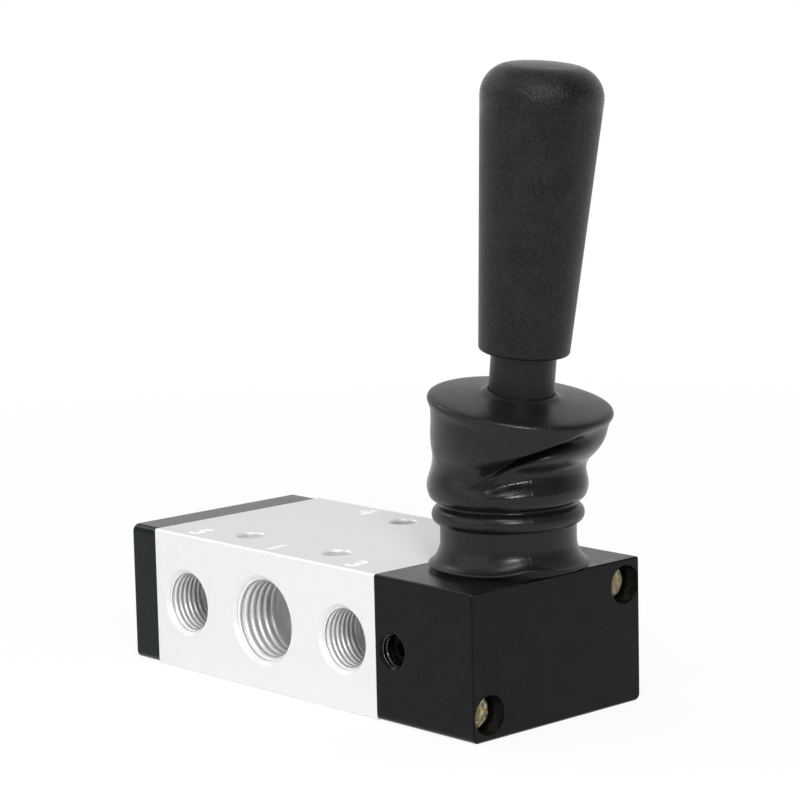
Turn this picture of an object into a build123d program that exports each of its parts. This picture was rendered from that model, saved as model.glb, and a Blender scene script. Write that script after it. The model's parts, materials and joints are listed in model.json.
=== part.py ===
from build123d import *
import os
from math import asin, cos, degrees, isclose, radians, sin, sqrt, tan

# Hand lever air valve, five ports and two positions, in millimetres.
# +X runs along the spool towards the lever, -Y is the side with three ports, +Z is up.
# The origin is the middle of the body's underside.

os.makedirs("parts", exist_ok=True)

# ---------------------------------------------------------------- driving dimensions
# Body
body_length = 52.0
body_width = 35.0
body_height = 22.0
body_edge = 0.25                 # small chamfer left by milling
bore_diameter = 12.0
chamber_pitch = 9.25             # from one annular chamber to the next
chamber_width = 5.2
chamber_diameter = 15.0

# Ports: thread size over the crests of the plug that goes in
port_pitch = 18.5
quarter_thread = 13.157          # G 1/4
eighth_thread = 9.728            # G 1/8
quarter_thread_depth = 9.0
eighth_thread_depth = 8.0
port_lead = 0.5                  # radial width of the lead-in chamfer
port_angle = 90                  # included, at every tapped hole
supply_passage = 8.5
exhaust_passage = 6.5
outlet_pitch = 21.0
outlet_passage = 5.0
bore_skin = 0.4                  # metal left between a passage's floor and the bore

# Mounting holes through the body
mount_hole = 4.3
mount_hole_pitch = 20.5
front_hole_offset = 10.8
rear_hole_offset = 12.5
mount_hole_lead = 0.25

# End cap, gaskets and the lever housing
cap_thickness = 6.0
cap_corner = 1.2
housing_length = 20.5
housing_corner = 1.0             # round of the two lower long edges
housing_top_round = 0.4
block_edge = 0.25
gasket_thickness = 0.6
gasket_inset = 2.0               # from the block's outline to the gasket's
gasket_corner = 2.5
gasket_bore = 13.4

# Cover screws, M3 pan head
screw_diameter = 3.0
screw_hole = 3.4
screw_head = 5.2
screw_head_height = 2.0
screw_head_dome = 0.45
screw_counterbore = 5.9
housing_counterbore_depth = 4.7
cap_counterbore_depth = 3.2
screw_side_inset = 3.2           # from the block's side to the screw's axis
screw_rise_inset = 3.8           # from the block's top or underside to the screw's axis
housing_screw_thread = 7.0       # length that holds in the body
cap_screw_thread = 8.0
screw_hole_runout = 1.0
screw_tap_play = 0.05
cross_slot_width = 0.95
cross_slot_span = 3.2
cross_slot_depth = 1.3
cross_slot_taper = 12             # degrees

# Lever and its travel
lever_tilt = 6.8                 # degrees from upright, each way
pivot_depth = 2.0                # below the housing's top
rod_diameter = 9.65
rod_neck = 4.6
tip_ball = 6.0
tip_shoulder = 3.2               # below the pivot, where the full rod begins
rod_end_in_grip = 1.4            # full rod held inside the grip
rod_stud = 6.0
rod_stud_length = 18.0
pin_diameter = 3.5
pin_chamfer = 0.25
running_play = 0.03

# Socket that carries the pivot pin
spigot_diameter = 15.5
spigot_clearance = 0.45          # from the spigot's end to the coupling's bore
socket_flange = 21.0
socket_flange_thickness = 1.5
socket_collar = 18.0
socket_collar_top = 5.5          # above the housing
socket_mouth = 0.35              # gap round the tilted rod
collar_groove = 0.5
collar_groove_width = 1.2
collar_groove_rise = 3.6

# Spool and seals
spool_land = 11.6
spool_neck = 7.0
seal_width = 1.5
seal_groove_play = 0.1
seal_wall = 1.4
seal_round = 0.35
seal_bore_play = 0.02
seal_cheek = 0.8                 # land left on each side of a seal
seal_margin = 0.2                # from a seal to the edge of a chamber
end_seal_margin = 1.3            # the same for the two end seals
spool_stop_gap = 0.25
spool_stud = 5.0
spool_stud_length = 6.0
stud_hole_play = 0.5

# Coupling between spool and lever, and its detent
coupling_diameter = 9.0
coupling_bore_play = 0.05
coupling_end_wall = 2.6          # beyond the cross slot
slot_play = 0.06
slot_floor_play = 0.4
guide_ring_width = 1.6
guide_ring_wall = 0.6
guide_ring_end = 0.6             # from the coupling's end
detent_from_joint = 3.5
detent_ball_size = 3.5
detent_depth = 0.25
detent_ball_play = 0.05
detent_hole_play = 0.1
set_screw = 5.0
set_screw_lead = 0.3
set_screw_chamfer = 0.3
set_screw_length = 3.2
set_screw_sunk = 2.3
set_screw_hex = 2.5
set_screw_hex_depth = 1.8
set_screw_runout = 0.6
spring_wire = 0.45
spring_side_play = 0.15
spring_turns = 4

# Grip
grip_start = 34.5                # above the pivot, along the lever
grip_length = 42.1
grip_foot = 13.35
grip_head = 18.3
grip_crown = 1.2
grip_head_round = 4.6
grip_foot_round = 0.5
rod_hole_play = 0.15
stud_tip_room = 1.0
insert_diameter = 9.0
insert_stud_reach = 3.0          # stud left beyond the insert
insert_collar = 0.6
insert_collar_height = 1.2

# Rubber boot
boot_wall = 1.3
boot_skirt = 23.9
boot_neck = 20.4
boot_ring = 22.6
boot_belly = 24.0
boot_waist = 22.6
boot_rim = 27.4
boot_skirt_rise = 0.4            # heights above the housing
boot_skirt_top = 1.9
boot_neck_low = 2.9
boot_ring_mid = 8.2
boot_groove_mid = 9.9
boot_belly_mid = 12.2
boot_waist_mid = 15.6
boot_rim_along = 26.3            # pivot to the rim, along the lever
boot_rim_round = 0.9
boot_shoulder = 26.9
boot_shoulder_drop = 3.6         # below the rim, along the lever
boot_lid_rise = 0.9
boot_groove_width = 0.6
boot_groove_depth = 0.5
boot_fold_share = 0.45           # way up the leaning wall where it swells
boot_fold_swell = 0.25
boot_lip_height = 1.0
boot_lip_wall = 0.9
boot_play = 0.2

# ---------------------------------------------------------------- places worked out
bore_height = body_height / 2
body_end = body_length / 2
cap_end = body_end + cap_thickness
housing_end = body_end + housing_length
lever_x = body_end + housing_length / 2
detent_x = body_end + detent_from_joint
pivot_height = body_height - pivot_depth
lever_arm = pivot_height - bore_height
rod_shoulder = grip_start + rod_end_in_grip
tilt = radians(lever_tilt)
spool_travel = 2 * lever_arm * sin(tilt)
tip_x = lever_x - lever_arm * sin(tilt)
chambers = [i * chamber_pitch for i in (-2, -1, 0, 1, 2)]
coupling_bore = coupling_diameter + 2 * coupling_bore_play
spigot_depth = body_height - bore_height - coupling_bore / 2 - spigot_clearance
screw_side = body_width / 2 - screw_side_inset
screw_rise = body_height / 2 - screw_rise_inset

bore_axis = Axis((0, 0, bore_height), (1, 0, 0))
pivot = Vector(lever_x, 0, pivot_height)
lever_direction = Vector(sin(tilt), 0, cos(tilt))
lever_axis = Axis(pivot, lever_direction)
upright_axis = Axis((lever_x, 0, 0), (0, 0, 1))
lever_side = Plane(origin=pivot, x_dir=(cos(tilt), 0, -sin(tilt)), z_dir=(0, -1, 0))
front_face = Plane(origin=(0, -body_width / 2, bore_height), x_dir=(1, 0, 0), z_dir=(0, -1, 0))
rear_face = Plane(origin=(0, body_width / 2, bore_height), x_dir=(-1, 0, 0), z_dir=(0, 1, 0))
housing_face = Plane(origin=(housing_end, 0, bore_height), x_dir=(0, 1, 0), z_dir=(1, 0, 0))
cap_face = Plane(origin=(-cap_end, 0, bore_height), x_dir=(0, -1, 0), z_dir=(-1, 0, 0))
screw_spots = [(-screw_side, -screw_rise), (screw_side, screw_rise)]

# Seal places along the spool, with the lever at rest and the spool at its far end from it.
# A seal that shuts a land in one position stands clear of it, in a chamber, in the other.
open_offset = chamber_width / 2 - seal_width / 2 - seal_margin
outer_land = chambers[4] + chamber_width / 2 + seal_width / 2 + end_seal_margin
seals = [
    -outer_land - spool_travel,
    chambers[0] + open_offset,
    chambers[2] - open_offset - spool_travel,
    chambers[2] + open_offset,
    chambers[4] - open_offset - spool_travel,
    outer_land,
]
half_seat = seal_width / 2 + seal_cheek
spool_start = seals[0] - half_seat
spool_end = seals[-1] + half_seat
spool_pocket = spool_end + spool_travel + spool_stop_gap - body_end
cap_pocket = -body_end - spool_start + spool_stop_gap
coupling_end = tip_x + tip_ball / 2 + coupling_end_wall
coupling_hole_end = coupling_end + spool_travel + spool_stop_gap


def turned(steps, height=bore_height):
    """Corners of a turned part's half section: steps are (start, end, radius) along X."""
    corners = [(steps[0][0], height)]
    for start, end, radius in steps:
        corners += [(start, height + radius), (end, height + radius)]
    return corners + [(steps[-1][1], height)]


# ---------------------------------------------------------------- valve body
with BuildPart() as valve_body:
    with BuildSketch(Plane.YZ.offset(-body_end)):
        with Locations((0, body_height / 2)):
            Rectangle(body_width, body_height)
    extrude(amount=body_length)
    chamfer(valve_body.edges().filter_by(Axis.X), body_edge)
    # spool bore with an annular chamber at each port
    with BuildSketch(Plane.XZ):
        with BuildLine():
            bore_steps = []
            wall_start = -body_end
            for centre in chambers:
                chamber_start = centre - chamber_width / 2
                bore_steps.append((wall_start, chamber_start, bore_diameter / 2))
                wall_start = centre + chamber_width / 2
                bore_steps.append((chamber_start, wall_start, chamber_diameter / 2))
            bore_steps.append((wall_start, body_end, bore_diameter / 2))
            Polyline(*turned(bore_steps), close=True)
        make_face()
    revolve(axis=bore_axis, mode=Mode.SUBTRACT)
    # supply and exhaust ports in front, outlets behind
    passage_depth = body_width / 2 - bore_diameter / 2 - bore_skin
    with Locations(front_face):
        quarter_mouth = quarter_thread / 2 + port_lead
        CounterSinkHole(quarter_thread / 2, quarter_mouth, quarter_thread_depth, port_angle)
        Hole(supply_passage / 2, passage_depth)
        with Locations((-port_pitch, 0), (port_pitch, 0)):
            eighth_mouth = eighth_thread / 2 + port_lead
            CounterSinkHole(eighth_thread / 2, eighth_mouth, eighth_thread_depth, port_angle)
            Hole(exhaust_passage / 2, passage_depth)
    with Locations(rear_face):
        with Locations((-outlet_pitch / 2, 0), (outlet_pitch / 2, 0)):
            CounterSinkHole(quarter_thread / 2, quarter_mouth, quarter_thread_depth, port_angle)
            Hole(outlet_passage / 2, passage_depth)
    # mounting holes, right through, with their rims broken at both faces
    mount_spots = [
        (-mount_hole_pitch / 2, -front_hole_offset),
        (mount_hole_pitch / 2, -front_hole_offset),
        (0, rear_hole_offset),
    ]
    with Locations(Plane.XY.offset(body_height)):
        with Locations(*mount_spots):
            Hole(mount_hole / 2, body_height)
    round_edges = valve_body.edges().filter_by(GeomType.CIRCLE)
    chamfer([edge for edge in round_edges if isclose(edge.radius, mount_hole / 2)], mount_hole_lead)
    # tapped holes for the cover screws
    with Locations(Plane.YZ.offset(body_end)):
        with Locations(*[(y, bore_height + z) for y, z in screw_spots]):
            Hole(screw_diameter / 2 + screw_tap_play, housing_screw_thread + screw_hole_runout)
    with Locations(Plane(origin=(-body_end, 0, bore_height), x_dir=(0, -1, 0), z_dir=(-1, 0, 0))):
        with Locations(*screw_spots):
            Hole(screw_diameter / 2 + screw_tap_play, cap_screw_thread + screw_hole_runout)
valve_body.part.label = "valve_body"
export_step(valve_body.part, "parts/valve_body.step")


# ---------------------------------------------------------------- end cap
def gasket_outline():
    """Outline shared by a gasket and the recess it lies in."""
    with Locations((0, body_height / 2)):
        RectangleRounded(body_width - 2 * gasket_inset, body_height - 2 * gasket_inset, gasket_corner)


with BuildPart() as end_cap:
    with BuildSketch(Plane.YZ.offset(-cap_end)):
        with Locations((0, body_height / 2)):
            RectangleRounded(body_width, body_height, cap_corner)
    extrude(amount=cap_thickness)
    chamfer(end_cap.faces().sort_by(Axis.X)[0].edges(), block_edge)
    with BuildSketch(Plane.YZ.offset(-body_end)):
        gasket_outline()
    extrude(amount=-gasket_thickness, mode=Mode.SUBTRACT)
    with BuildSketch(Plane.YZ.offset(-body_end)):
        with Locations((0, bore_height)):
            Circle(bore_diameter / 2)
    extrude(amount=-cap_pocket, mode=Mode.SUBTRACT)
    with Locations(cap_face):
        with Locations(*screw_spots):
            CounterBoreHole(screw_hole / 2, screw_counterbore / 2, cap_counterbore_depth)
end_cap.part.label = "end_cap"
export_step(end_cap.part, "parts/end_cap.step")


# ---------------------------------------------------------------- gaskets
def gasket_sheet():
    """Flat seal with the spool bore and two screw holes, in the plane of the sketch."""
    gasket_outline()
    with Locations((0, bore_height)):
        Circle(gasket_bore / 2, mode=Mode.SUBTRACT)
        with Locations(*screw_spots):
            Circle(screw_hole / 2, mode=Mode.SUBTRACT)


with BuildPart() as end_cap_gasket:
    with BuildSketch(Plane(origin=(-body_end, 0, 0), x_dir=(0, -1, 0), z_dir=(-1, 0, 0))):
        gasket_sheet()
    extrude(amount=gasket_thickness)
end_cap_gasket.part.label = "end_cap_gasket"
export_step(end_cap_gasket.part, "parts/end_cap_gasket.step")

with BuildPart() as housing_gasket:
    with BuildSketch(Plane.YZ.offset(body_end)):
        gasket_sheet()
    extrude(amount=gasket_thickness)
housing_gasket.part.label = "housing_gasket"
export_step(housing_gasket.part, "parts/housing_gasket.step")

# ---------------------------------------------------------------- lever housing
with BuildPart() as lever_housing:
    with BuildSketch(Plane.YZ.offset(body_end)):
        with Locations((0, body_height / 2)):
            Rectangle(body_width, body_height)
    extrude(amount=housing_length)
    fillet(lever_housing.edges().filter_by(Axis.X).group_by(Axis.Z)[0], housing_corner)
    fillet(lever_housing.edges().filter_by(Axis.X).group_by(Axis.Z)[-1], housing_top_round)
    chamfer(lever_housing.faces().sort_by(Axis.X)[-1].edges(), block_edge)
    with BuildSketch(Plane.YZ.offset(body_end)):
        gasket_outline()
    extrude(amount=gasket_thickness, mode=Mode.SUBTRACT)
    # spool land pocket and coupling bore
    with BuildSketch(Plane.XZ):
        with BuildLine():
            Polyline(
                *turned([
                    (body_end, body_end + spool_pocket, bore_diameter / 2),
                    (body_end + spool_pocket, coupling_hole_end, coupling_bore / 2),
                ]),
                close=True,
            )
        make_face()
    revolve(axis=bore_axis, mode=Mode.SUBTRACT)
    # bore for the socket's spigot, and the way down for the lever's tip
    with Locations(Plane(origin=(lever_x, 0, body_height))):
        Hole(spigot_diameter / 2, spigot_depth)
        Hole(coupling_bore / 2, body_height - bore_height)
    # detent hole, tapped at its mouth
    tapped_depth = set_screw_sunk + set_screw_length + set_screw_runout
    with Locations(front_face):
        with Locations((detent_x, 0)):
            CounterSinkHole(set_screw / 2, set_screw / 2 + set_screw_lead, tapped_depth, port_angle)
            Hole(detent_ball_size / 2 + detent_hole_play, body_width / 2)
    with Locations(housing_face):
        with Locations(*screw_spots):
            CounterBoreHole(screw_hole / 2, screw_counterbore / 2, housing_counterbore_depth)
lever_housing.part.label = "lever_housing"
export_step(lever_housing.part, "parts/lever_housing.step")


# ---------------------------------------------------------------- cover screws
# Pan head screws with a cross recess, two in each cover, with their heads in the counterbores.
housing_screw_length = housing_length - housing_counterbore_depth + housing_screw_thread
cap_screw_length = cap_thickness - cap_counterbore_depth + cap_screw_thread
for name, face, depth, length in (
    ("housing_screws", housing_face, housing_counterbore_depth, housing_screw_length),
    ("end_cap_screws", cap_face, cap_counterbore_depth, cap_screw_length),
):
    with BuildPart() as cover_screws:
        seat = face.offset(-depth)
        with BuildSketch(seat):
            with Locations(*screw_spots):
                Circle(screw_head / 2)
        extrude(amount=screw_head_height)
        outward = Axis(face.origin, face.z_dir)
        fillet(cover_screws.faces().group_by(outward)[-1].edges(), screw_head_dome)
        with BuildSketch(seat):
            with Locations(*screw_spots):
                Circle(screw_diameter / 2)
        extrude(amount=-length)
        with BuildSketch(seat.offset(screw_head_height)):
            with Locations(*screw_spots):
                Rectangle(cross_slot_span, cross_slot_width)
                Rectangle(cross_slot_width, cross_slot_span)
        extrude(amount=-cross_slot_depth, taper=cross_slot_taper, mode=Mode.SUBTRACT)
    cover_screws.part.label = name
    export_step(cover_screws.part, f"parts/{name}.step")

# ---------------------------------------------------------------- lever socket
with BuildPart() as lever_socket:
    flange_top = body_height + socket_flange_thickness
    collar_top = body_height + socket_collar_top
    groove_low = body_height + collar_groove_rise
    with BuildSketch(Plane.XZ):
        with BuildLine():
            Polyline(
                (lever_x, body_height - spigot_depth),
                (lever_x + spigot_diameter / 2, body_height - spigot_depth),
                (lever_x + spigot_diameter / 2, body_height),
                (lever_x + socket_flange / 2, body_height),
                (lever_x + socket_flange / 2, flange_top),
                (lever_x + socket_collar / 2, flange_top),
                (lever_x + socket_collar / 2, groove_low),
                (lever_x + socket_collar / 2 - collar_groove, groove_low),
                (lever_x + socket_collar / 2 - collar_groove, groove_low + collar_groove_width),
                (lever_x + socket_collar / 2, groove_low + collar_groove_width),
                (lever_x + socket_collar / 2, collar_top),
                (lever_x, collar_top),
                close=True,
            )
        make_face()
    revolve(axis=upright_axis)
    # mouth long enough for the rod to lean each way
    lean = (collar_top - pivot_height) * tan(tilt)
    mouth_width = rod_diameter + 2 * socket_mouth
    with BuildSketch(Plane.XY.offset(body_height - spigot_depth)):
        with Locations((lever_x, 0)):
            SlotCenterToCenter(2 * lean, mouth_width)
    extrude(amount=spigot_depth + socket_collar_top, mode=Mode.SUBTRACT)
    with Locations(Plane(origin=(lever_x, spigot_diameter / 2, pivot_height), z_dir=(0, 1, 0))):
        Hole(pin_diameter / 2, spigot_diameter)
lever_socket.part.label = "lever_socket"
export_step(lever_socket.part, "parts/lever_socket.step")

# ---------------------------------------------------------------- pivot pin
with BuildPart() as pivot_pin:
    pin_end = sqrt((spigot_diameter / 2) ** 2 - (pin_diameter / 2) ** 2) - running_play
    with BuildSketch(Plane.XZ.offset(-pin_end)):
        with Locations((lever_x, pivot_height)):
            Circle(pin_diameter / 2)
    extrude(amount=2 * pin_end)
    chamfer(pivot_pin.edges().filter_by(GeomType.CIRCLE), pin_chamfer)
pivot_pin.part.label = "pivot_pin"
export_step(pivot_pin.part, "parts/pivot_pin.step")

# ---------------------------------------------------------------- spool
with BuildPart() as spool:
    groove_radius = bore_diameter / 2 - seal_bore_play - seal_wall
    groove_half = seal_width / 2 + seal_groove_play
    spool_steps = []
    for place in seals:
        if spool_steps:
            spool_steps.append((spool_steps[-1][1], place - half_seat, spool_neck / 2))
        spool_steps.append((place - half_seat, place - groove_half, spool_land / 2))
        spool_steps.append((place - groove_half, place + groove_half, groove_radius))
        spool_steps.append((place + groove_half, place + half_seat, spool_land / 2))
    spool_steps.append((spool_end, spool_end + spool_stud_length, spool_stud / 2))
    with BuildSketch(Plane.XZ):
        with BuildLine():
            Polyline(*turned(spool_steps), close=True)
        make_face()
    revolve(axis=bore_axis)
spool.part.label = "spool"
export_step(spool.part, "parts/spool.step")

with BuildPart() as spool_seals:
    with BuildSketch(Plane.XZ):
        for place in seals:
            with Locations((place, bore_height + groove_radius + seal_wall / 2)):
                RectangleRounded(seal_width, seal_wall, seal_round)
    revolve(axis=bore_axis)
spool_seals.part.label = "spool_seals"
export_step(spool_seals.part, "parts/spool_seals.step")

# ---------------------------------------------------------------- coupling and guide ring
with BuildPart() as spool_coupling:
    ring_start = coupling_end - guide_ring_width - guide_ring_end
    ring_seat = coupling_diameter / 2 - guide_ring_wall
    with BuildSketch(Plane.XZ):
        with BuildLine():
            Polyline(
                *turned([
                    (spool_end, ring_start, coupling_diameter / 2),
                    (ring_start, ring_start + guide_ring_width, ring_seat),
                    (ring_start + guide_ring_width, coupling_end, coupling_diameter / 2),
                ]),
                close=True,
            )
        make_face()
    revolve(axis=bore_axis)
    # hole for the spool's stud
    with Locations(Plane(origin=(spool_end, 0, bore_height), z_dir=(-1, 0, 0))):
        Hole(spool_stud / 2, spool_stud_length + stud_hole_play)
    # two ball grooves, one travel apart
    ball_seat = coupling_diameter / 2 - detent_depth + detent_ball_size / 2
    with BuildSketch(Plane.XZ):
        with Locations(
            (detent_x, bore_height + ball_seat),
            (detent_x - spool_travel, bore_height + ball_seat),
        ):
            Circle(detent_ball_size / 2 + detent_ball_play)
    revolve(axis=bore_axis, mode=Mode.SUBTRACT)
    # cross slot, open at the top, for the lever's tip
    slot_width = tip_ball + 2 * slot_play
    slot_floor = bore_height - tip_ball / 2 - slot_floor_play
    with BuildSketch(Plane.XZ.offset(-coupling_diameter / 2)):
        with Locations((tip_x, slot_floor)):
            Rectangle(slot_width, coupling_diameter, align=(Align.CENTER, Align.MIN))
    extrude(amount=coupling_diameter, mode=Mode.SUBTRACT)
spool_coupling.part.label = "spool_coupling"
export_step(spool_coupling.part, "parts/spool_coupling.step")

with BuildPart() as guide_ring:
    with BuildSketch(Plane.YZ.offset(ring_start)):
        with Locations((0, bore_height)):
            Circle(coupling_bore / 2 - seal_bore_play)
            Circle(ring_seat, mode=Mode.SUBTRACT)
    extrude(amount=guide_ring_width)
guide_ring.part.label = "guide_ring"
export_step(guide_ring.part, "parts/guide_ring.step")

# ---------------------------------------------------------------- detent
screw_outer = -body_width / 2 + set_screw_sunk
screw_inner = screw_outer + set_screw_length
ball_y = -(coupling_diameter / 2 + detent_ball_play + detent_ball_size / 2)

with BuildPart() as detent_set_screw:
    with BuildSketch(Plane.XZ.offset(-screw_inner)):
        with Locations((detent_x, bore_height)):
            Circle(set_screw / 2 - screw_tap_play)
    extrude(amount=set_screw_length)
    chamfer(detent_set_screw.edges().filter_by(GeomType.CIRCLE), set_screw_chamfer)
    with BuildSketch(Plane.XZ.offset(-screw_outer)):
        with Locations((detent_x, bore_height)):
            RegularPolygon(set_screw_hex / 2, 6, major_radius=False)
    extrude(amount=-set_screw_hex_depth, mode=Mode.SUBTRACT)
detent_set_screw.part.label = "detent_set_screw"
export_step(detent_set_screw.part, "parts/detent_set_screw.step")

with BuildPart() as detent_ball:
    with Locations((detent_x, ball_y, bore_height)):
        Sphere(detent_ball_size / 2)
detent_ball.part.label = "detent_ball"
export_step(detent_ball.part, "parts/detent_ball.step")

with BuildPart() as detent_spring:
    spring_radius = detent_ball_size / 2 + detent_hole_play - spring_side_play - spring_wire / 2
    ball_touch = sqrt((detent_ball_size / 2 + spring_wire / 2) ** 2 - spring_radius ** 2)
    spring_start = screw_inner + spring_wire / 2
    spring_length = ball_y - ball_touch - spring_start - detent_ball_play
    with BuildLine():
        coil = Helix(
            pitch=spring_length / spring_turns,
            height=spring_length,
            radius=spring_radius,
            center=(detent_x, spring_start, bore_height),
            direction=(0, 1, 0),
        )
    with BuildSketch(Plane(origin=coil @ 0, z_dir=coil % 0)):
        Circle(spring_wire / 2)
    sweep(is_frenet=True)
detent_spring.part.label = "detent_spring"
export_step(detent_spring.part, "parts/detent_spring.step")

# ---------------------------------------------------------------- lever rod
with BuildPart() as lever_rod:
    with BuildSketch(lever_side):
        with BuildLine():
            Polyline(
                (0, -lever_arm),
                (rod_neck / 2, -lever_arm),
                (rod_neck / 2, -tip_shoulder),
                (rod_diameter / 2, -tip_shoulder),
                (rod_diameter / 2, rod_shoulder),
                (rod_stud / 2, rod_shoulder),
                (rod_stud / 2, rod_shoulder + rod_stud_length),
                (0, rod_shoulder + rod_stud_length),
                close=True,
            )
        make_face()
    revolve(axis=lever_axis)
    with Locations(pivot - lever_direction * lever_arm):
        Sphere(tip_ball / 2)
    with Locations(Plane(origin=pivot + Vector(0, rod_diameter / 2, 0), z_dir=(0, 1, 0))):
        Hole(pin_diameter / 2 + running_play, rod_diameter)
lever_rod.part.label = "lever_rod"
export_step(lever_rod.part, "parts/lever_rod.step")

# ---------------------------------------------------------------- grip and its insert
insert_start = rod_shoulder
insert_length = rod_stud_length - insert_stud_reach
grip_end = grip_start + grip_length

with BuildPart() as grip_insert:
    collar_end = insert_start + insert_collar_height
    with BuildSketch(lever_side):
        with BuildLine():
            Polyline(
                (rod_stud / 2, insert_start),
                (insert_diameter / 2 + insert_collar, insert_start),
                (insert_diameter / 2 + insert_collar, collar_end),
                (insert_diameter / 2, collar_end),
                (insert_diameter / 2, insert_start + insert_length),
                (rod_stud / 2, insert_start + insert_length),
                close=True,
            )
        make_face()
    revolve(axis=lever_axis)
grip_insert.part.label = "grip_insert"
export_step(grip_insert.part, "parts/grip_insert.step")

# The hole takes the rod's end, then the moulded-in insert, with room for the stud's tip.
with BuildPart() as handle_grip:
    crown_radius = ((grip_head / 2) ** 2 + grip_crown ** 2) / (2 * grip_crown)
    crown_angle = degrees(asin(grip_head / 2 / crown_radius))
    stud_room = rod_shoulder + rod_stud_length + stud_tip_room
    rod_hole = rod_diameter / 2 + rod_hole_play
    collar_radius = insert_diameter / 2 + insert_collar
    with BuildSketch(lever_side) as grip_section:
        with BuildLine():
            foot = (grip_foot / 2, grip_start)
            shoulder = (grip_head / 2, grip_end - grip_crown)
            Line((rod_hole, grip_start), foot)
            Line(foot, shoulder)
            CenterArc((0, grip_end - crown_radius), crown_radius, 90 - crown_angle, crown_angle)
            Polyline(
                (0, grip_end),
                (0, stud_room),
                (rod_stud / 2, stud_room),
                (rod_stud / 2, insert_start + insert_length),
                (insert_diameter / 2, insert_start + insert_length),
                (insert_diameter / 2, collar_end),
                (collar_radius, collar_end),
                (collar_radius, insert_start),
                (rod_hole, insert_start),
                (rod_hole, grip_start),
            )
        make_face()
        fillet(grip_section.vertices().sort_by_distance(shoulder)[0], grip_head_round)
        fillet(grip_section.vertices().sort_by_distance(foot)[0], grip_foot_round)
    revolve(axis=lever_axis)
handle_grip.part.label = "handle_grip"
export_step(handle_grip.part, "parts/handle_grip.step")

# ---------------------------------------------------------------- rubber boot
# Its foot stands upright on the housing and its lid leans with the lever.
waist_z = body_height + boot_waist_mid
shoulder_along = boot_rim_along - boot_shoulder_drop
shoulder_centre = pivot + lever_direction * shoulder_along
waist_centre = Vector(lever_x, 0, waist_z)
fold_centre = waist_centre + (shoulder_centre - waist_centre) * boot_fold_share
fold_tilt = tilt * boot_fold_share
waist_plane = Plane(origin=waist_centre)
fold_plane = Plane(
    origin=fold_centre,
    x_dir=(cos(fold_tilt), 0, -sin(fold_tilt)),
    z_dir=(sin(fold_tilt), 0, cos(fold_tilt)),
)
shoulder_plane = Plane(origin=shoulder_centre, x_dir=lever_side.x_dir, z_dir=lever_direction)


def foot_point(diameter, rise):
    """Point of the boot's foot on the XZ plane: a diameter and a height above the housing."""
    return (lever_x + diameter / 2, body_height + rise)


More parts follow.
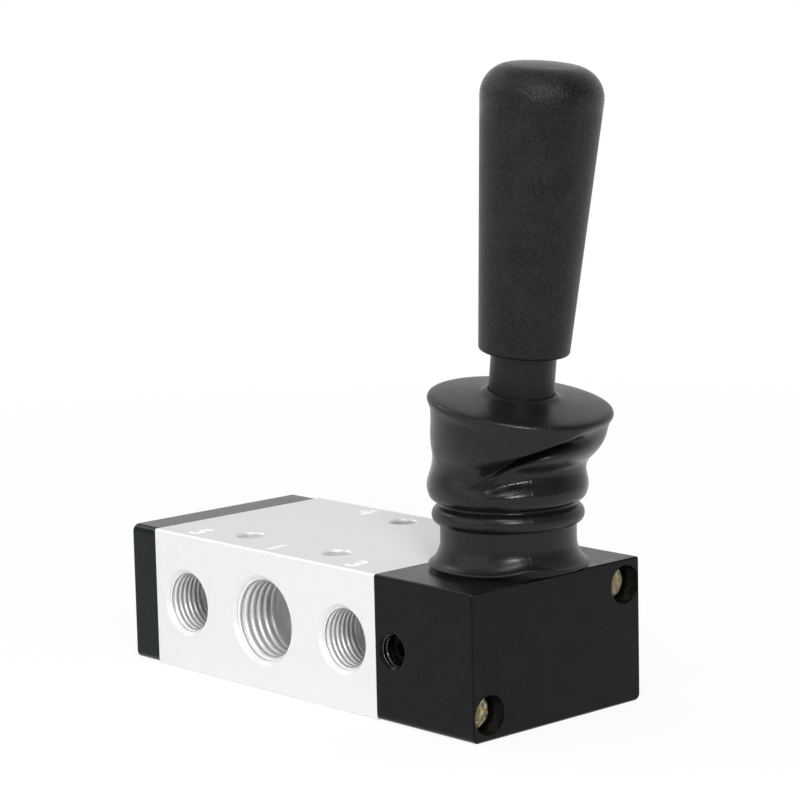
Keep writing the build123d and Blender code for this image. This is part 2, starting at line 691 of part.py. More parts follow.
with BuildPart() as boot:
    neck_bore = socket_collar + boot_play
    lip_bore = neck_bore - 2 * collar_groove + boot_play
    lip_low = collar_groove_rise + boot_play / 2
    lip_high = collar_groove_rise + collar_groove_width - boot_play / 2
    flange_bore = socket_flange + 2 * boot_play
    flange_seat = socket_flange_thickness + boot_play / 2
    groove_outer = boot_ring - 2 * boot_groove_depth
    belly_bore = boot_belly - 2 * boot_wall
    waist_bore = boot_waist - 2 * boot_wall
    ring_low = 2 * boot_ring_mid - boot_groove_mid + boot_groove_width / 2
    groove_low = boot_groove_mid - boot_groove_width / 2
    groove_high = boot_groove_mid + boot_groove_width / 2
    with BuildSketch(Plane.XZ):
        with BuildLine():
            Line(foot_point(flange_bore, boot_skirt_rise), foot_point(boot_skirt, boot_skirt_rise))
            Line(foot_point(boot_skirt, boot_skirt_rise), foot_point(boot_skirt, boot_skirt_top / 2))
            Spline(
                foot_point(boot_skirt, boot_skirt_top / 2),
                foot_point(boot_neck, boot_neck_low),
                tangents=((-1, 1), (0, 1)),
            )
            Line(foot_point(boot_neck, boot_neck_low), foot_point(boot_neck, ring_low))
            ThreePointArc(
                foot_point(boot_neck, ring_low),
                foot_point(boot_ring, boot_ring_mid),
                foot_point(groove_outer, groove_low),
            )
            Line(foot_point(groove_outer, groove_low), foot_point(groove_outer, groove_high))
            ThreePointArc(
                foot_point(groove_outer, groove_high),
                foot_point(boot_belly, boot_belly_mid),
                foot_point(boot_waist, boot_waist_mid),
            )
            Line(foot_point(boot_waist, boot_waist_mid), foot_point(waist_bore, boot_waist_mid))
            Polyline(
                foot_point(waist_bore, boot_waist_mid),
                foot_point(belly_bore, boot_belly_mid),
                foot_point(neck_bore, boot_groove_mid),
                foot_point(neck_bore, lip_high),
                foot_point(lip_bore, lip_high),
                foot_point(lip_bore, lip_low),
                foot_point(neck_bore, lip_low),
                foot_point(neck_bore, flange_seat),
                foot_point(flange_bore, flange_seat),
                foot_point(flange_bore, boot_skirt_rise),
            )
        make_face()
    revolve(axis=upright_axis)
    # leaning upper wall: the outside first, then its hollow
    fold = (boot_waist + (boot_shoulder - boot_waist) * boot_fold_share) / 2 + boot_fold_swell
    for wall, mode in ((0, Mode.ADD), (boot_wall, Mode.SUBTRACT)):
        with BuildSketch(waist_plane):
            Circle(boot_waist / 2 - wall)
        with BuildSketch(fold_plane):
            Circle(fold - wall)
        with BuildSketch(shoulder_plane):
            Circle(boot_shoulder / 2 - wall)
        loft(mode=mode)
    # upper band and lid, with a lip round the rod
    lid_hole = rod_diameter / 2 + boot_play
    lip_outer = lid_hole + boot_lip_wall
    lid_edge = boot_rim_along + boot_rim_round
    lid_top = lid_edge + boot_lid_rise
    with BuildSketch(lever_side):
        with BuildLine():
            Polyline(
                (lid_hole, lid_top - boot_wall),
                (boot_rim / 2 - boot_wall, boot_rim_along),
                (boot_shoulder / 2 - boot_wall, shoulder_along),
                (boot_shoulder / 2, shoulder_along),
                (boot_rim / 2, boot_rim_along),
            )
            RadiusArc(
                (boot_rim / 2, boot_rim_along),
                (boot_rim / 2 - boot_rim_round, lid_edge),
                -boot_rim_round,
            )
            Polyline(
                (boot_rim / 2 - boot_rim_round, lid_edge),
                (lip_outer + boot_lip_wall, lid_top),
                (lip_outer, lid_top + boot_lip_wall / 2),
                (lip_outer, lid_top + boot_lip_height),
                (lid_hole, lid_top + boot_lip_height),
                (lid_hole, lid_top - boot_wall),
            )
        make_face()
    revolve(axis=lever_axis)
boot.part.label = "boot"
export_step(boot.part, "parts/boot.step")
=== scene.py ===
import bpy
import json
from math import cos, exp, pi, radians, sin, tau
from mathutils import Matrix, Vector


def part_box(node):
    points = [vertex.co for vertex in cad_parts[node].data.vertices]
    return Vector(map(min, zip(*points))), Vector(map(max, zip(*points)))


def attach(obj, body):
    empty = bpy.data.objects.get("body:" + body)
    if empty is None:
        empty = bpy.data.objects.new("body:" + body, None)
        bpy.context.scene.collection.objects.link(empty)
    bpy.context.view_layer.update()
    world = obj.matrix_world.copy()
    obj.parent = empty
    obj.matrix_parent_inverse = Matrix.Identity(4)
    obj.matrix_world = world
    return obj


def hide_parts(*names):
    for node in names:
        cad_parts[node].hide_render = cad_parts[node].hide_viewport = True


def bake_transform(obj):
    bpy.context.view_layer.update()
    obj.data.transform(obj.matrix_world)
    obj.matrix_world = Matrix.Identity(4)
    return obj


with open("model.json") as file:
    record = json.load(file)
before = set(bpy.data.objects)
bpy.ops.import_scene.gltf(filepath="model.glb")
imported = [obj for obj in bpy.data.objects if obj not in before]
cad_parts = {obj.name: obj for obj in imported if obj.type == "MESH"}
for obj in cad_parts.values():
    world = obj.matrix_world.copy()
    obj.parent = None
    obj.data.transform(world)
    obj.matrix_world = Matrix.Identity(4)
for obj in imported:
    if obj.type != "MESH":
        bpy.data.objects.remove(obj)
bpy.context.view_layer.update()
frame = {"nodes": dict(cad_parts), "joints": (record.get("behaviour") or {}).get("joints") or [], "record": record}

# ---------------------------------------------------------------- studio
# A sweep of white paper under and behind the valve, lit by large soft lamps.
# Eyes, reflections and clear parts see the sweep as plain white; the lamps stay at a plain level.
MM = 0.001
scene = bpy.context.scene
scene.view_settings.view_transform = "Standard"


def colour(code):
    """Linear RGBA of an sRGB hex colour such as "2E2F33"."""
    parts = [int(code[i:i + 2], 16) / 255 for i in (0, 2, 4)]
    return [c / 12.92 if c <= 0.04045 else ((c + 0.055) / 1.055) ** 2.4 for c in parts] + [1]


def add(tree, kind, inputs=(), **settings):
    """Adds a node: inputs gives each socket a value or another node's output."""
    made = tree.nodes.new(kind)
    for name, value in settings.items():
        setattr(made, name, value)
    for socket, value in dict(inputs).items():
        if isinstance(value, bpy.types.NodeSocket):
            tree.links.new(value, made.inputs[socket])
        else:
            made.inputs[socket].default_value = value
    return made


def blank_material(name):
    """A material with an empty node tree, and that tree."""
    made = bpy.data.materials.new(name)
    made.use_nodes = True
    made.node_tree.nodes.clear()
    return made, made.node_tree


# Matte white paper. Near the valve it glows a little less, so that the valve's soft shadow shows.
paper_near, paper_far = 50 * MM, 350 * MM
near_glow = 0.86
sweep_paper, tree = blank_material("white_sweep_paper")
glow = add(tree, "ShaderNodeEmission", {"Color": colour("FFFFFF"), "Strength": 1.0})
paper = add(tree, "ShaderNodeBsdfDiffuse", {"Color": colour("F4F4F4")})
path = add(tree, "ShaderNodeLightPath")
eye_or_gloss = add(tree, "ShaderNodeMath", {
    0: path.outputs["Is Camera Ray"], 1: path.outputs["Is Glossy Ray"]}, operation="MAXIMUM")
seen = add(tree, "ShaderNodeMath", {
    0: eye_or_gloss.outputs[0], 1: path.outputs["Is Transmission Ray"]}, operation="MAXIMUM")
spot = add(tree, "ShaderNodeTexCoord").outputs["Object"]
distance = add(tree, "ShaderNodeVectorMath", {0: spot}, operation="LENGTH")
fade = add(tree, "ShaderNodeMapRange", {
    "Value": distance.outputs["Value"], "From Min": paper_near, "From Max": paper_far,
    "To Min": near_glow, "To Max": 1.0})
share = add(tree, "ShaderNodeMath", {0: seen.outputs[0], 1: fade.outputs[0]}, operation="MULTIPLY")
mixed = add(tree, "ShaderNodeMixShader", {
    0: share.outputs[0], 1: paper.outputs[0], 2: glow.outputs[0]})
add(tree, "ShaderNodeOutputMaterial", {"Surface": mixed.outputs[0]})

reach = 6.0
floor_mesh = bpy.data.meshes.new("floor")
floor_mesh.from_pydata(
    [(-reach, -reach, 0), (reach, -reach, 0), (reach, reach, 0), (-reach, reach, 0)],
    [], [(0, 1, 2, 3)])
floor_mesh.materials.append(sweep_paper)
floor = bpy.data.objects.new("floor", floor_mesh)
scene.collection.objects.link(floor)

# The room lights the valve from its far side and grows darker overhead; eyes see it as white.
far_side = (-0.74, 0.67, 0)
world = bpy.data.worlds.new("studio")
scene.world = world
world.use_nodes = True
tree = world.node_tree
tree.nodes.clear()
way = add(tree, "ShaderNodeTexCoord").outputs["Generated"]
behind = add(tree, "ShaderNodeVectorMath", {0: way, 1: far_side}, operation="DOT_PRODUCT")
wall = add(tree, "ShaderNodeMapRange", {
    "Value": behind.outputs["Value"], "From Min": -0.1, "From Max": 0.6,
    "To Min": 0.3, "To Max": 0.96})
rise = add(tree, "ShaderNodeSeparateXYZ", {0: way}).outputs["Z"]
upper = add(tree, "ShaderNodeMapRange", {
    "Value": rise, "From Min": 0.15, "From Max": 0.45, "To Min": 0.97, "To Max": 0.75})
strength = add(tree, "ShaderNodeMath", {
    0: wall.outputs[0], 1: upper.outputs[0]}, operation="MULTIPLY")
room = add(tree, "ShaderNodeBackground", {
    "Color": colour("F7F7F5"), "Strength": strength.outputs[0]})
backdrop = add(tree, "ShaderNodeBackground", {"Color": colour("FFFFFF"), "Strength": 1.0})
path = add(tree, "ShaderNodeLightPath")
mixed = add(tree, "ShaderNodeMixShader", {
    0: path.outputs["Is Camera Ray"], 1: room.outputs[0], 2: backdrop.outputs[0]})
add(tree, "ShaderNodeOutputWorld", {"Surface": mixed.outputs[0]})

# Softboxes: place, aim, width and height in metres, and power in watts.
for name, place, aim, width, height, power in (
    ("key", (-0.25, -0.85, 0.50), (0, 0, 0.03), 1.1, 0.9, 3.5),
    ("overhead", (0.34, -0.33, 0.95), (0, 0, 0.03), 0.3, 0.3, 3.0),
    ("window", (0.56, -0.38, 0.44), (0.02, 0, 0.04), 0.16, 0.16, 3.4),
    ("edge", (-0.73, -0.15, 0.67), (0, 0, 0.03), 0.25, 0.25, 0.8),
):
    lamp = bpy.data.lights.new(name, "AREA")
    lamp.shape = "RECTANGLE"
    lamp.size = width
    lamp.size_y = height
    lamp.energy = power
    holder = bpy.data.objects.new(name, lamp)
    scene.collection.objects.link(holder)
    holder.location = place
    holder.rotation_euler = (Vector(aim) - Vector(place)).to_track_quat("-Z", "Y").to_euler()

# ---------------------------------------------------------------- camera
# Low three-quarter view from the lever end and the side with three ports.
view_azimuth = radians(47.375)
view_elevation = radians(8.643)
view_roll = radians(-1.303)
view_place = Vector((326.55, -288.1, 109.2)) * MM
back = Vector((sin(view_azimuth) * cos(view_elevation), -cos(view_azimuth) * cos(view_elevation),
               sin(view_elevation)))
level = Vector((cos(view_azimuth), sin(view_azimuth), 0))
upward = back.cross(level)
turn = Matrix((level, upward, back)).transposed().to_4x4() @ Matrix.Rotation(view_roll, 4, "Z")
lens = bpy.data.cameras.new("camera")
lens.lens = 126.85
lens.sensor_width = 36
lens.clip_start = 0.02
camera = bpy.data.objects.new("camera", lens)
scene.collection.objects.link(camera)
camera.matrix_world = Matrix.Translation(view_place) @ turn
scene.camera = camera


# ---------------------------------------------------------------- valve body
# Milled from an extruded aluminium bar, blasted with fine grit and anodised clear.
# Everything else is screwed to it or slides in it.
def finish(name, base, spread, metallic, roughness, rough_spread, grain, bump, **sockets):
    """A surface with a fine noise in its colour, gloss and height.

    It varies between the colours base and spread, and its roughness by rough_spread.
    The noise has a grain in mm, and patches 14 grains wide. A real grain under 0.1 mm is too
    fine to show, so it is drawn coarser.
    """
    patch = 14 * grain
    made, tree = blank_material(name)
    place = add(tree, "ShaderNodeTexCoord").outputs["Object"]
    fine = add(tree, "ShaderNodeTexNoise", {
        "Vector": place, "Scale": 1 / (grain * MM), "Detail": 3.0, "Roughness": 0.6})
    broad = add(tree, "ShaderNodeTexNoise", {
        "Vector": place, "Scale": 1 / (patch * MM), "Detail": 2.0, "Roughness": 0.5})
    both = add(tree, "ShaderNodeMath", {
        0: broad.outputs["Fac"], 1: 0.3, 2: fine.outputs["Fac"]}, operation="MULTIPLY_ADD")
    tone = add(tree, "ShaderNodeMapRange", {
        "Value": both.outputs[0], "From Min": 0.45, "From Max": 0.85})
    mix = add(tree, "ShaderNodeMix", {
        0: tone.outputs[0], 6: colour(base), 7: colour(spread)}, data_type="RGBA")
    gloss = add(tree, "ShaderNodeMapRange", {
        "Value": broad.outputs["Fac"], "From Min": 0.3, "From Max": 0.7,
        "To Min": roughness - rough_spread, "To Max": roughness + rough_spread})
    height = add(tree, "ShaderNodeBump", {
        "Height": fine.outputs["Fac"], "Strength": bump, "Distance": grain * MM})
    shader = add(tree, "ShaderNodeBsdfPrincipled", {
        "Base Color": mix.outputs[2], "Metallic": metallic, "Roughness": gloss.outputs[0],
        "Normal": height.outputs[0], **sockets})
    add(tree, "ShaderNodeOutputMaterial", {"Surface": shader.outputs[0]})
    return made


def dress(node, material):
    """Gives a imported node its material."""
    for place in frame["nodes"][node].material_slots:
        place.material = material


# The oxide over the blasted metal looks pale silver and matte, with a faint sparkle of grit marks.
blasted_aluminium = finish(
    "clear_anodised_aluminium", "E8E8E7", "EDEDEC", 0.55, 0.44, 0.015, 0.12, 0.2)
dress("valve_body", blasted_aluminium)


# ---------------------------------------------------------------- port threads
# Parallel pipe threads tapped in the body: G 1/4 for supply and outlets, G 1/8 for the exhausts.
# Each is a right-hand helix cut after anodising, so its crests are brighter than the block.
def thread_tree(material):
    """Geometry Nodes: a helical ridge at every point, run out at both ends."""
    foot_share, crest_share = 0.49, 0.08
    growth = 1.2
    made = bpy.data.node_groups.new("helical_thread", "GeometryNodeTree")
    made.interface.new_socket("Geometry", in_out="INPUT", socket_type="NodeSocketGeometry")
    for label, value in (("Major Radius", 5 * MM), ("Pitch", 1 * MM), ("Height", 0.6 * MM),
                         ("Length", 8 * MM)):
        made.interface.new_socket(
            label, in_out="INPUT", socket_type="NodeSocketFloat").default_value = value
    made.interface.new_socket("Geometry", in_out="OUTPUT", socket_type="NodeSocketGeometry")
    given = add(made, "NodeGroupInput").outputs
    turns = add(made, "ShaderNodeMath", {
        0: given["Length"], 1: given["Pitch"]}, operation="DIVIDE")
    helix = add(made, "GeometryNodeCurveSpiral", {
        "Resolution": 56, "Rotations": turns.outputs[0], "Start Radius": given["Major Radius"],
        "End Radius": given["Major Radius"], "Height": given["Length"], "Reverse": True})
    upright = add(made, "GeometryNodeSetCurveNormal", {"Curve": helix.outputs[0]}, mode="Z_UP")

    # the ridge reaches full size a little under one turn from either end
    along = add(made, "GeometryNodeSplineParameter").outputs["Factor"]
    left = add(made, "ShaderNodeMath", {0: 1.0, 1: along}, operation="SUBTRACT")
    nearest = add(made, "ShaderNodeMath", {0: along, 1: left.outputs[0]}, operation="MINIMUM")
    in_turns = add(made, "ShaderNodeMath", {
        0: nearest.outputs[0], 1: turns.outputs[0]}, operation="MULTIPLY")
    run_out = add(made, "ShaderNodeMath", {
        0: in_turns.outputs[0], 1: growth}, operation="MULTIPLY", use_clamp=True)

    # its section: a broad foot on the bore and a narrow flat crest, as shares of the pitch
    section = add(made, "GeometryNodeCurvePrimitiveQuadrilateral", mode="POINTS")
    corners = [socket for socket in section.inputs if socket.name.startswith("Point")]
    for corner, across, up in zip(corners, (crest_share, -crest_share, -foot_share, foot_share),
                                  (given["Height"], given["Height"], 0.0, 0.0)):
        width = add(made, "ShaderNodeMath", {0: given["Pitch"], 1: across}, operation="MULTIPLY")
        place = add(made, "ShaderNodeCombineXYZ", {0: width.outputs[0], 1: up})
        made.links.new(place.outputs[0], corner)
    ridge = add(made, "GeometryNodeCurveToMesh", {
        "Curve": upright.outputs[0], "Profile Curve": section.outputs[0],
        "Scale": run_out.outputs[0], "Fill Caps": True})

    into = add(made, "GeometryNodeInputNamedAttribute", {"Name": "into"}, data_type="FLOAT_VECTOR")
    facing = add(made, "FunctionNodeAlignRotationToVector", {"Vector": into.outputs[0]}, axis="Z")
    placed = add(made, "GeometryNodeInstanceOnPoints", {
        "Points": given["Geometry"], "Instance": ridge.outputs[0], "Rotation": facing.outputs[0]})
    real = add(made, "GeometryNodeRealizeInstances", {"Geometry": placed.outputs[0]})
    painted = add(made, "GeometryNodeSetMaterial", {
        "Geometry": real.outputs[0], "Material": material})
    add(made, "NodeGroupOutput", {0: painted.outputs[0]})
    return made


def grown(name, points, into, tree, values):
    """A plain mesh of what the tree grows at the points, each facing its way into the metal."""
    seeds = bpy.data.meshes.new(name + "_seeds")
    seeds.from_pydata(points, [], [])
    seeds.attributes.new("into", "FLOAT_VECTOR", "POINT").data.foreach_set(
        "vector", [c for v in into for c in v])
    seed = bpy.data.objects.new(name + "_seeds", seeds)
    scene.collection.objects.link(seed)
    modifier = seed.modifiers.new("grow", "NODES")
    modifier.node_group = tree
    for item in tree.interface.items_tree:
        if item.in_out == "INPUT" and item.name in values:
            modifier[item.identifier] = values[item.name]
    bpy.context.view_layer.update()
    seen = seed.evaluated_get(bpy.context.evaluated_depsgraph_get())
    mesh = bpy.data.meshes.new_from_object(seen)
    if mesh.materials[0] is None:
        mesh.materials.pop(index=0)  # an empty slot, left by joining several ridges
    seed.modifiers.remove(modifier)
    bpy.data.objects.remove(seed)
    made = bpy.data.objects.new(name, mesh)
    scene.collection.objects.link(made)
    return made


# Freshly cut aluminium: whiter and a touch shinier than the block, with fine tap marks.
cut_aluminium = finish("fresh_cut_aluminium", "F0F0EF", "F6F6F5", 0.6, 0.4, 0.03, 0.3, 0.1)
mounts = {mount["name"]: mount for mount in frame["record"]["mounts"]}
end_gap = 0.2 * MM
port_ridges = thread_tree(cut_aluminium)
for name, ports, pitch, depth in (
    ("supply_and_outlet_threads",
     ("supply_port", "outlet_port_cap_end", "outlet_port_lever_end"), 1.337 * MM, 0.856 * MM),
    ("exhaust_threads",
     ("exhaust_port_cap_end", "exhaust_port_lever_end"), 0.907 * MM, 0.581 * MM),
):
    dims = mounts[ports[0]]["dims"]
    length = dims["length_mm"] * MM
    ways = [Vector(mounts[port]["axis"]) for port in ports]
    mouths = [Vector(mounts[port]["pos_m"]) + way * (length / 2)
              for port, way in zip(ports, ways)]
    ridges = grown(name, mouths, [-way for way in ways], port_ridges, {
        "Major Radius": dims["r_mm"] * MM, "Pitch": pitch, "Height": depth,
        "Length": length - end_gap})
    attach(ridges, "valve")

# ---------------------------------------------------------------- port numbers
# Plain port numbers, cut by laser through the anodising, so they are bare bright metal.
# They stand beside their ports: 1 supply, 5 and 3 exhausts, 4 and 2 outlets.
number_size = 5.4 * MM
number_depth = 0.03 * MM
number_swell = 0.12 * MM
number_inset = 3.3 * MM
body_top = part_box("valve_body")[1]
# The laser leaves a dull melted skin: a flat, bright white mark.
laser_mark = finish("laser_bared_aluminium", "FAFAFA", "FFFFFF", 0.0, 0.5, 0.03, 0.1, 0.2)
for figure, port in (("5", "exhaust_port_cap_end"), ("1", "supply_port"),
                     ("3", "exhaust_port_lever_end"), ("4", "outlet_port_cap_end"),
                     ("2", "outlet_port_lever_end")):
    words = bpy.data.curves.new("port_number_" + figure, "FONT")
    words.body = figure
    words.size = number_size
    words.align_x = "CENTER"
    words.align_y = "CENTER"
    words.extrude = number_depth
    words.offset = number_swell
    words.resolution_u = 6
    shown = bpy.data.objects.new("text", words)
    scene.collection.objects.link(shown)
    bpy.context.view_layer.update()
    seen = shown.evaluated_get(bpy.context.evaluated_depsgraph_get())
    mesh = bpy.data.meshes.new_from_object(seen)
    bpy.data.objects.remove(shown)
    along = mounts[port]["pos_m"][0]
    across = mounts[port]["axis"][1] * (body_top.y - number_inset)
    mesh.transform(Matrix.Translation((along, across, body_top.z)))
    mesh.materials.clear()
    mesh.materials.append(laser_mark)
    number = bpy.data.objects.new("port_number_" + figure, mesh)
    scene.collection.objects.link(number)
    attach(number, "valve")

# ---------------------------------------------------------------- end cap and gaskets
# The cap is moulded in glass-filled nylon and held by two screws.
# The gaskets are punched from nitrile sheet and show only as a thin line at the joints.
# The cap looks near-black and matte, with a faint mottle where the fibres lie near the surface.
glass_filled_nylon = finish(
    "glass_filled_nylon", "091011", "121C1D", 0.0, 0.2, 0.03, 0.35, 0.08,
    **{"Specular IOR Level": 0.14, "Sheen Weight": 0.35, "Sheen Roughness": 0.2})
dress("end_cap", glass_filled_nylon)
# Sheet rubber has no shine: a dull line, a shade lighter than the cap.
nitrile_sheet = finish("nitrile_sheet", "17181A", "1E1F21", 0.0, 0.7, 0.05, 0.3, 0.3)
dress("end_cap_gasket", nitrile_sheet)
dress("housing_gasket", nitrile_sheet)

# ---------------------------------------------------------------- lever housing
# Milled aluminium, dyed black in the anodising bath and screwed to the body's other end.
# The dyed oxide looks like deep black satin. Its cutter marks are too fine and drawn coarser.
black_anodised = finish(
    "black_anodised_aluminium", "030403", "121512", 0.0, 0.2, 0.04, 0.28, 0.15,
    **{"Specular IOR Level": 0.12, "Sheen Weight": 0.1, "Sheen Roughness": 0.2})
dress("lever_housing", black_anodised)

# ---------------------------------------------------------------- cover screws
# Pan head machine screws, two to each cover, in steel with yellowish zinc plating.
# The plating gives a pale brassy glint. Its mottle is too fine to show and drawn coarser.
plated_steel = finish(
    "yellow_zinc_plated_steel", "E4D3A4", "FFF8E2", 0.9, 0.24, 0.06, 0.5, 0.8)
dress("end_cap_screws", plated_steel)
dress("housing_screws", plated_steel)

# ---------------------------------------------------------------- lever socket and pivot pin
# The socket is turned steel, blacked, let into the housing under the boot.
# It carries the ground pin that the lever rocks on.
# Blacking leaves an even dark grey with an oily satin gloss.
blacked_steel = finish("blacked_steel", "17181A", "222426", 0.6, 0.38, 0.06, 0.25, 0.2)
# Hardened and ground, it is a clean mid grey, nearly mirror bright.
ground_steel = finish("ground_bearing_steel", "A9ABAD", "BEC0C2", 1.0, 0.22, 0.04, 0.3, 0.1)
dress("lever_socket", blacked_steel)
dress("pivot_pin", ground_steel)

# ---------------------------------------------------------------- detent
# A blacked set screw loads the detent spring and its ball through the side of the housing.
# The M5 thread in the housing shows as fine dark rings round the hole's mouth.
thread_radius = 2.5 * MM
thread_pitch = 0.8 * MM
thread_depth = 0.42 * MM
mouth_chamfer = 0.3 * MM
dress("detent_set_screw", blacked_steel)
# Drawn wire: bright grey, with a slight silky gloss.
dress("detent_spring", finish(
    "drawn_spring_steel", "8E9092", "A4A6A8", 1.0, 0.3, 0.05, 0.3, 0.1))
dress("detent_ball", ground_steel)
screw_low, screw_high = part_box("detent_set_screw")
screw_middle = (screw_low + screw_high) / 2
housing_low, housing_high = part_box("lever_housing")
mouth = (screw_middle.x, housing_low.y + mouth_chamfer, screw_middle.z)
# Tapped through the dyed oxide and left oily: dark metal with sharp bright glints on its crests.
oiled_thread = finish("oiled_dark_thread", "3C3E40", "56585A", 1.0, 0.2, 0.04, 0.3, 0.3)
detent_thread = grown("detent_thread", [mouth], [(0, 1, 0)], thread_tree(oiled_thread), {
    "Major Radius": thread_radius, "Pitch": thread_pitch, "Height": thread_depth,
    "Length": screw_low.y - mouth[1]})
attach(detent_thread, "valve")

# ---------------------------------------------------------------- spool
# The spool is turned aluminium with nitrile seals, screwed to a hardened coupling.
# A plastic ring guides the coupling's free end.
# Turned aluminium is bright silver, the seals are black with a greasy gloss, the ring is ivory.
dress("spool", finish("turned_aluminium", "CFD1D3", "DDDFE0", 1.0, 0.3, 0.05, 0.3, 0.15))
dress("spool_seals", finish("nitrile_seal", "161719", "1F2023", 0.0, 0.4, 0.05, 0.3, 0.2))
dress("spool_coupling", ground_steel)
dress("guide_ring", finish("acetal", "E8E5DC", "F0EEE6", 0.0, 0.45, 0.04, 0.3, 0.1))

# ---------------------------------------------------------------- lever rod and grip
# A blacked steel rod screws into a brass insert moulded in the grip.
# The grip is nylon from a spark-eroded mould, which leaves a fine even grain.
dress("lever_rod", blacked_steel)
# Turned brass: warm yellow, with a soft metal gloss.
dress("grip_insert", finish("turned_brass", "C9A85A", "D8B96C", 1.0, 0.25, 0.05, 0.3, 0.1))
# The grain makes the black look like charcoal. It is too fine to show and drawn coarser.
grained_nylon = finish("grained_nylon", "040506", "232628", 0.0, 0.36, 0.03, 0.3, 0.5,
                       **{"Specular IOR Level": 0.17})


def burnish(material, middle, inner, outer, share):
    """Where it rubs, a height band is glossier: the roughness falls to a share of itself."""
    tree = material.node_tree
    shader = tree.nodes["Principled BSDF"]
    moulded = shader.inputs["Roughness"].links[0].from_socket
    place = add(tree, "ShaderNodeTexCoord").outputs["Object"]
    height = add(tree, "ShaderNodeSeparateXYZ", {0: place}).outputs["Z"]
    above = add(tree, "ShaderNodeMath", {0: height, 1: middle}, operation="SUBTRACT")
    away = add(tree, "ShaderNodeMath", {0: above.outputs[0]}, operation="ABSOLUTE")
    rubbed = add(tree, "ShaderNodeMapRange", {
        "Value": away.outputs[0], "From Min": inner, "From Max": outer,
        "To Min": share, "To Max": 1.0}, interpolation_type="SMOOTHSTEP")
    gloss = add(tree, "ShaderNodeMath", {0: moulded, 1: rubbed.outputs[0]}, operation="MULTIPLY")
    tree.links.new(gloss.outputs[0], shader.inputs["Roughness"])


# The dome that the palm rests on is rubbed smooth.
grip_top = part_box("handle_grip")[1].z
burnish(grained_nylon, middle=grip_top, inner=6 * MM, outer=9 * MM, share=0.48)
dress("handle_grip", grained_nylon)

# ---------------------------------------------------------------- rubber boot
# Moulded nitrile, snapped over the socket's flange and gripping the rod at its lid.
# Pushed over with the lever, its near wall buckles into one deep slanting crease.
foot_z = housing_high.z
# Moulded nitrile is charcoal with a soft sheen. Where its belly is stretched it is glossier.
moulded_nitrile = finish("moulded_nitrile_rubber", "101113", "1B1C1F", 0.0, 0.3, 0.03, 0.25, 0.12,
                         **{"Specular IOR Level": 0.26})
burnish(moulded_nitrile, middle=foot_z + 13.5 * MM, inner=2.5 * MM, outer=5.5 * MM, share=0.7)

hinge = next(joint for joint in frame["joints"] if joint["name"] == "lever_hinge")
pivot = Vector(hinge["pos_m"])
lean = radians(-hinge["range_deg"][0] / 2)
lever_way = Vector((sin(lean), 0, cos(lean)))

# From here on, lengths are in mm and levels are heights above the housing.
foot_shift = 0.25
lid_extra_lean = radians(2.2)
lean_start, lean_end = 12.3, 21.5
rim_along = 26.3
rim_level = (pivot.z + rim_along * MM * cos(lean) - foot_z) / MM
belly_level = 12.2

# Half section outside and in, as (level, radius). Above lean_start it goes over to the lever's line.
outside = [(0.5, 10.9), (0.4, 11.6), (0.5, 11.95), (0.85, 11.9), (1.1, 11.4), (1.6, 10.95),
           (2.3, 10.55), (3.1, 10.25), (3.8, 10.1), (6.5, 10.1), (6.75, 10.15), (6.9, 10.8),
           (7.4, 11.2), (8.1, 11.35), (8.8, 11.15), (9.3, 10.6), (9.45, 10.1), (10.0, 10.05),
           (10.15, 11.0), (10.8, 11.65), (belly_level, 12.0), (13.4, 11.85), (14.8, 11.45),
           (16.3, 11.5), (17.8, 12.2), (19.5, 12.75), (21.5, 13.0), (23.0, 13.15), (23.7, 13.5),
           (24.3, 13.75), (24.8, 13.6), (25.1, 13.0), (25.35, 11.0), (25.65, 8.0), (25.9, 6.0),
           (26.2, 5.6), (26.45, 5.2), (26.45, 4.84)]
inside = [(24.6, 4.84), (24.3, 8.0), (23.6, 12.0), (21.5, 11.7), (17.8, 10.8), (14.8, 10.1),
          (belly_level, 10.5), (10.4, 9.6), (9.8, 9.12), (2.1, 9.12), (1.75, 9.15), (1.62, 9.6),
          (1.6, 10.7), (1.0, 10.75)]

# The buckle. Angles go round the boot from the side that it leans to.
crease_start, crease_bend = -1.015, -0.56
crease_level, crease_climb, crease_curve = 17.3, 7.9, 4.47
crease_depth, crease_drop, crease_width = 2.6, 0.9, 0.95
lip_height, lip_width = 0.35, 1.4
sharp_middle, sharp_reach, sharp_edge, blunt_edge = -0.5, 0.55, 0.13, 0.8
slope_middle, slope_reach, slope_reach_back, slope_depth = -0.35, 0.82, 1.0, 1.15
shoulder_start, shoulder_low, shoulder_high, shoulder_climb = -1.0, 13.4, 17.0, 3.5

# The mould's parting line runs up both sides. The skirt has ridden up a little below the buckle.
parting = radians(-27)
flash_height, flash_width = 0.03, 0.08
lift_height, lift_middle, lift_reach, lift_top = 1.1, -0.49, 0.3, 3.0


def held(value, low, high):
    """The value, held between two limits."""
    return min(max(value, low), high)


def rounded(points, rounds):
    """The points with every corner cut back, several times over, so it reads as a curve."""
    for _ in range(rounds):
        cut = []
        for i, (a, b) in enumerate(points):
            c, d = points[(i + 1) % len(points)]
            cut += [(0.75 * a + 0.25 * c, 0.75 * b + 0.25 * d),
                    (0.25 * a + 0.75 * c, 0.25 * b + 0.75 * d)]
        points = cut
    return points


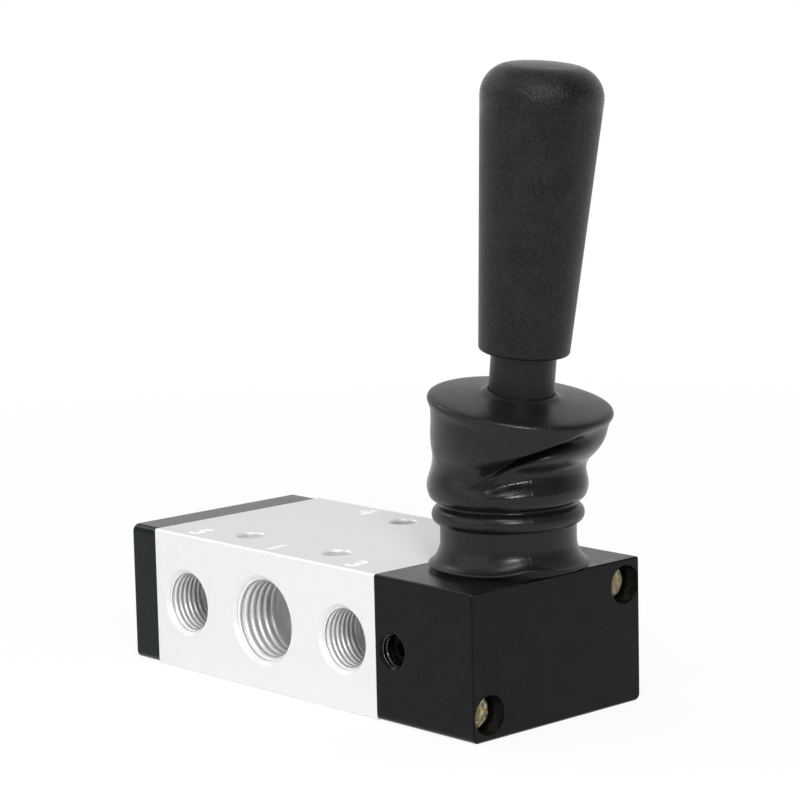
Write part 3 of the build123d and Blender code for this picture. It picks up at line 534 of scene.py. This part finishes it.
def buckled(level, radius, angle):
    """The radius once the wall has buckled: a lip hangs over a crease, with a slope below."""
    past = angle - crease_start
    above = level - crease_level - crease_climb * past + crease_curve * past * (angle - crease_bend)
    sharp = exp(-((angle - sharp_middle) / sharp_reach) ** 4)
    reach = slope_reach if angle < slope_middle else slope_reach_back
    soft = exp(-((angle - slope_middle) / reach) ** 4)
    edge = sharp_edge + blunt_edge * (1 - sharp)
    over = 1 / (1 + exp(-held(above / edge, -50, 50)))  # held, or exp would overflow
    shoulder = held(
        shoulder_low + shoulder_climb * (angle - shoulder_start), shoulder_low, shoulder_high)
    climb = held((level - belly_level) / (shoulder - belly_level), 0, 1)
    slope = climb * (1 + 3 * climb - 2 * climb * climb) / 2
    crease = crease_depth * sharp * exp(-((above + crease_drop) / crease_width) ** 2)
    lip = lip_height * sharp * exp(-(above / lip_width) ** 2)
    return radius + over * lip - (1 - over) * (crease + slope_depth * soft * slope)


def boot_point(level, radius, angle):
    """Where a point of the section goes, at an angle round the boot."""
    share = held((level - lean_start) / (lean_end - lean_start), 0, 1)
    ease = share * share * (3 - 2 * share)
    radius = buckled(level, radius, angle)
    away = (angle - parting + pi / 2) % pi - pi / 2
    radius += flash_height * exp(-(away * radius / flash_width) ** 2)
    lift = lift_height * exp(-((angle - lift_middle) / lift_reach) ** 2)
    level += lift * max(1 - level / lift_top, 0)
    tilt = (lean + lid_extra_lean) * ease
    foot_line = Vector((pivot.x + foot_shift * MM, 0, foot_z + level * MM))
    lever_line = pivot + lever_way * ((level - rim_level + rim_along) * MM)
    centre = foot_line.lerp(lever_line, ease)
    ring = Vector((cos(tilt) * cos(angle), sin(angle), -sin(tilt) * cos(angle)))
    return centre + ring * (radius * MM)


# Even steps round the boot, and fine ones across each parting line.
even_steps = 160
fine_step = radians(0.3)
fine = [parting + half + fine_step * k for half in (0, pi) for k in range(-4, 5)]
even = [tau * k / even_steps - pi for k in range(even_steps)]
angles = sorted(fine + [a for a in even if min(abs(a - b) for b in fine) > fine_step / 2])
steps = len(angles)
section = rounded(outside + inside, 3)
points = [boot_point(level, radius, angle) for level, radius in section for angle in angles]
faces = []
for i in range(len(section)):
    j = (i + 1) % len(section)
    for k in range(steps):
        m = (k + 1) % steps
        faces.append((i * steps + k, i * steps + m, j * steps + m, j * steps + k))
boot_mesh = bpy.data.meshes.new("rubber_boot")
boot_mesh.from_pydata(points, [], faces)
boot_mesh.shade_smooth()
boot_mesh.materials.append(moulded_nitrile)
rubber_boot = bpy.data.objects.new("rubber_boot", boot_mesh)
scene.collection.objects.link(rubber_boot)
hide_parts("boot")
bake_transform(rubber_boot)
